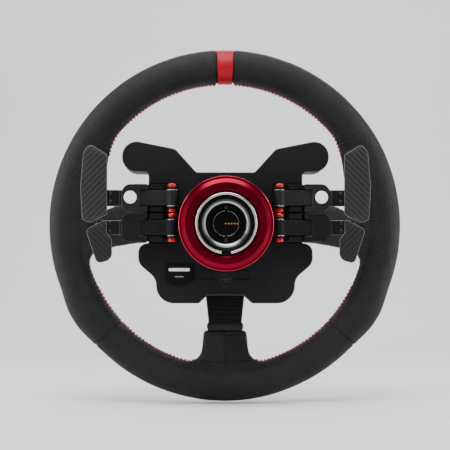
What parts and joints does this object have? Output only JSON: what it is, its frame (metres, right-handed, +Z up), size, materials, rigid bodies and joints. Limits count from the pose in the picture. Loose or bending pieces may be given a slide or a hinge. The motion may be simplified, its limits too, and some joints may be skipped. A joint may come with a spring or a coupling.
{
  "type": "racing wheel",
  "caption": "Round leather-wrapped sim racing wheel with a butterfly hub, paired paddles on magnetic and sprung hinges, driver-side controls and a pull-collar quick release.",
  "frame": {"origin": "centre of the quick-release socket's rear end plane, on the wheel's turning axis", "axes": "+Z up with the rim's marker band at 12 o'clock, +Y along the turning axis towards the driver, +X to the driver's left; left and right in names are the driver's"},
  "size_m": [0.33, 0.0984, 0.3303],
  "materials": {
    "armature_alloy": "cast and machined alloy",
    "grip_leather": "fine pebble-grain leather over foam",
    "stripe_leather": "smooth red leather band",
    "sleeve_leather": "thin creased leather",
    "housing_plastic": "fine-grained matte black",
    "plate_carbon": "carbon-fibre twill",
    "circuit_board": "solder-masked board",
    "port_rubber": "soft matte plug",
    "socket_black": "moulded socket",
    "qr_steel": "turned and polished",
    "collar_red": "red anodised, turned",
    "spring_steel": "spring wire",
    "contact_plastic": "moulded contact carrier",
    "contact_gold": "gold-plated pins",
    "bolt_steel": "black-oxide screws",
    "paddle_metal": "black anodised, bead blasted",
    "pivot_red": "red anodised end caps",
    "blade_carbon": "carbon-fibre twill, satin coat",
    "cap_white": "white cap",
    "button_red": "moulded push-button",
    "button_grey": "moulded push-button",
    "button_blue": "moulded push-button",
    "button_green": "moulded push-button",
    "knob_black": "black anodised, fluted",
    "gimbal_metal": "gimbal ring",
    "stick_rubber": "textured thumb cap"
  },
  "bodies": {
    "wheel": {"rim_armature": "armature_alloy", "rim_grip": "grip_leather", "rim_centre_stripe": "stripe_leather", "bottom_spoke_sleeve": "sleeve_leather", "rear_housing": "housing_plastic", "front_housing": "housing_plastic", "front_plate": "plate_carbon", "main_circuit_board": "circuit_board", "port_cover": "port_rubber", "aux_socket": "socket_black", "qr_socket_body": "qr_steel", "qr_collar_spring": "spring_steel", "contact_block": "contact_plastic", "contact_pins": "contact_gold", "hub_bolt_1": "bolt_steel", "hub_bolt_2": "bolt_steel", "hub_bolt_3": "bolt_steel", "hub_bolt_4": "bolt_steel", "hub_bolt_5": "bolt_steel", "hub_bolt_6": "bolt_steel", "shift_base_left": "paddle_metal", "shift_pivot_shaft_left": "pivot_red", "shift_base_right": "paddle_metal", "shift_pivot_shaft_right": "pivot_red", "clutch_base_left": "paddle_metal", "clutch_pivot_shaft_left": "pivot_red", "clutch_spring_left": "spring_steel", "clutch_base_right": "paddle_metal", "clutch_pivot_shaft_right": "pivot_red", "clutch_spring_right": "spring_steel"},
    "release_collar": {"qr_release_collar": "collar_red"},
    "shift_paddle_left": {"shift_arm_left": "paddle_metal", "shift_extension_left": "paddle_metal", "shift_blade_left": "blade_carbon", "shift_magnet_cap_left": "cap_white"},
    "shift_paddle_right": {"shift_arm_right": "paddle_metal", "shift_extension_right": "paddle_metal", "shift_blade_right": "blade_carbon", "shift_magnet_cap_right": "cap_white"},
    "clutch_paddle_left": {"clutch_arm_left": "paddle_metal", "clutch_extension_left": "paddle_metal", "clutch_blade_left": "blade_carbon"},
    "clutch_paddle_right": {"clutch_arm_right": "paddle_metal", "clutch_extension_right": "paddle_metal", "clutch_blade_right": "blade_carbon"},
    "button_upper_outer_left_body": {"button_upper_outer_left": "button_red"},
    "button_upper_outer_right_body": {"button_upper_outer_right": "button_red"},
    "button_upper_inner_left_body": {"button_upper_inner_left": "button_grey"},
    "button_upper_inner_right_body": {"button_upper_inner_right": "button_grey"},
    "button_middle_left_body": {"button_middle_left": "button_blue"},
    "button_middle_right_body": {"button_middle_right": "button_blue"},
    "button_lower_left_body": {"button_lower_left": "button_green"},
    "button_lower_right_body": {"button_lower_right": "button_green"},
    "knob_left_body": {"knob_left": "knob_black"},
    "knob_centre_body": {"knob_centre": "knob_black"},
    "knob_right_body": {"knob_right": "knob_black"},
    "joystick_gimbal_left_body": {"joystick_gimbal_left": "gimbal_metal"},
    "joystick_left_body": {"joystick_left": "stick_rubber"},
    "joystick_gimbal_right_body": {"joystick_gimbal_right": "gimbal_metal"},
    "joystick_right_body": {"joystick_right": "stick_rubber"}
  },
  "joints": [
    {"name": "qr_collar_slide", "type": "slide", "parent": "wheel", "child": "release_collar", "axis": [0, 1, 0], "range_m": [0, 0.006], "stiffness_N_per_m": 2500, "springref_m": -0.004, "deforming": ["qr_collar_spring"]},
    {"name": "shift_pull_left", "type": "hinge", "parent": "wheel", "child": "shift_paddle_left", "pos_m": [0.0494, 0.022, 0.0237], "axis": [0, 0, 1], "range_deg": [0, 4.5], "stiffness_Nm_per_rad": 6, "springref_deg": -1.72},
    {"name": "clutch_pull_left", "type": "hinge", "parent": "wheel", "child": "clutch_paddle_left", "pos_m": [0.0494, 0.022, -0.0035], "axis": [0, 0, 1], "range_deg": [0, 12], "stiffness_Nm_per_rad": 1.2, "springref_deg": -6.88, "deforming": ["clutch_spring_left"]},
    {"name": "shift_pull_right", "type": "hinge", "parent": "wheel", "child": "shift_paddle_right", "pos_m": [-0.0494, 0.022, 0.0237], "axis": [0, 0, -1], "range_deg": [0, 4.5], "stiffness_Nm_per_rad": 6, "springref_deg": -1.72},
    {"name": "clutch_pull_right", "type": "hinge", "parent": "wheel", "child": "clutch_paddle_right", "pos_m": [-0.0494, 0.022, -0.0035], "axis": [0, 0, -1], "range_deg": [0, 12], "stiffness_Nm_per_rad": 1.2, "springref_deg": -6.88, "deforming": ["clutch_spring_right"]},
    {"name": "button_upper_outer_left_press", "type": "slide", "parent": "wheel", "child": "button_upper_outer_left_body", "axis": [0, -1, 0], "range_m": [0, 0.0015], "stiffness_N_per_m": 900, "springref_m": -0.0008},
    {"name": "button_upper_outer_right_press", "type": "slide", "parent": "wheel", "child": "button_upper_outer_right_body", "axis": [0, -1, 0], "range_m": [0, 0.0015], "stiffness_N_per_m": 900, "springref_m": -0.0008},
    {"name": "button_upper_inner_left_press", "type": "slide", "parent": "wheel", "child": "button_upper_inner_left_body", "axis": [0, -1, 0], "range_m": [0, 0.0015], "stiffness_N_per_m": 900, "springref_m": -0.0008},
    {"name": "button_upper_inner_right_press", "type": "slide", "parent": "wheel", "child": "button_upper_inner_right_body", "axis": [0, -1, 0], "range_m": [0, 0.0015], "stiffness_N_per_m": 900, "springref_m": -0.0008},
    {"name": "button_middle_left_press", "type": "slide", "parent": "wheel", "child": "button_middle_left_body", "axis": [0, -1, 0], "range_m": [0, 0.0015], "stiffness_N_per_m": 900, "springref_m": -0.0008},
    {"name": "button_middle_right_press", "type": "slide", "parent": "wheel", "child": "button_middle_right_body", "axis": [0, -1, 0], "range_m": [0, 0.0015], "stiffness_N_per_m": 900, "springref_m": -0.0008},
    {"name": "button_lower_left_press", "type": "slide", "parent": "wheel", "child": "button_lower_left_body", "axis": [0, -1, 0], "range_m": [0, 0.0015], "stiffness_N_per_m": 900, "springref_m": -0.0008},
    {"name": "button_lower_right_press", "type": "slide", "parent": "wheel", "child": "button_lower_right_body", "axis": [0, -1, 0], "range_m": [0, 0.0015], "stiffness_N_per_m": 900, "springref_m": -0.0008},
    {"name": "knob_left_turn", "type": "hinge", "parent": "wheel", "child": "knob_left_body", "pos_m": [0.046, 0.09, -0.05], "axis": [0, 1, 0], "continuous": true},
    {"name": "knob_centre_turn", "type": "hinge", "parent": "wheel", "child": "knob_centre_body", "pos_m": [0, 0.09, -0.046], "axis": [0, 1, 0], "continuous": true},
    {"name": "knob_right_turn", "type": "hinge", "parent": "wheel", "child": "knob_right_body", "pos_m": [-0.046, 0.09, -0.05], "axis": [0, 1, 0], "continuous": true},
    {"name": "joystick_tilt_up_down_left", "type": "hinge", "parent": "wheel", "child": "joystick_gimbal_left_body", "pos_m": [0.055, 0.0788, 0.032], "axis": [1, 0, 0], "range_deg": [-8, 8], "stiffness_Nm_per_rad": 0.08},
    {"name": "joystick_tilt_side_left", "type": "hinge", "parent": "joystick_gimbal_left_body", "child": "joystick_left_body", "pos_m": [0.055, 0.0788, 0.032], "axis": [0, 0, 1], "range_deg": [-8, 8], "stiffness_Nm_per_rad": 0.08},
    {"name": "joystick_tilt_up_down_right", "type": "hinge", "parent": "wheel", "child": "joystick_gimbal_right_body", "pos_m": [-0.055, 0.0788, 0.032], "axis": [1, 0, 0], "range_deg": [-8, 8], "stiffness_Nm_per_rad": 0.08},
    {"name": "joystick_tilt_side_right", "type": "hinge", "parent": "joystick_gimbal_right_body", "child": "joystick_right_body", "pos_m": [-0.055, 0.0788, 0.032], "axis": [0, 0, 1], "range_deg": [-8, 8], "stiffness_Nm_per_rad": 0.08}
  ]
}
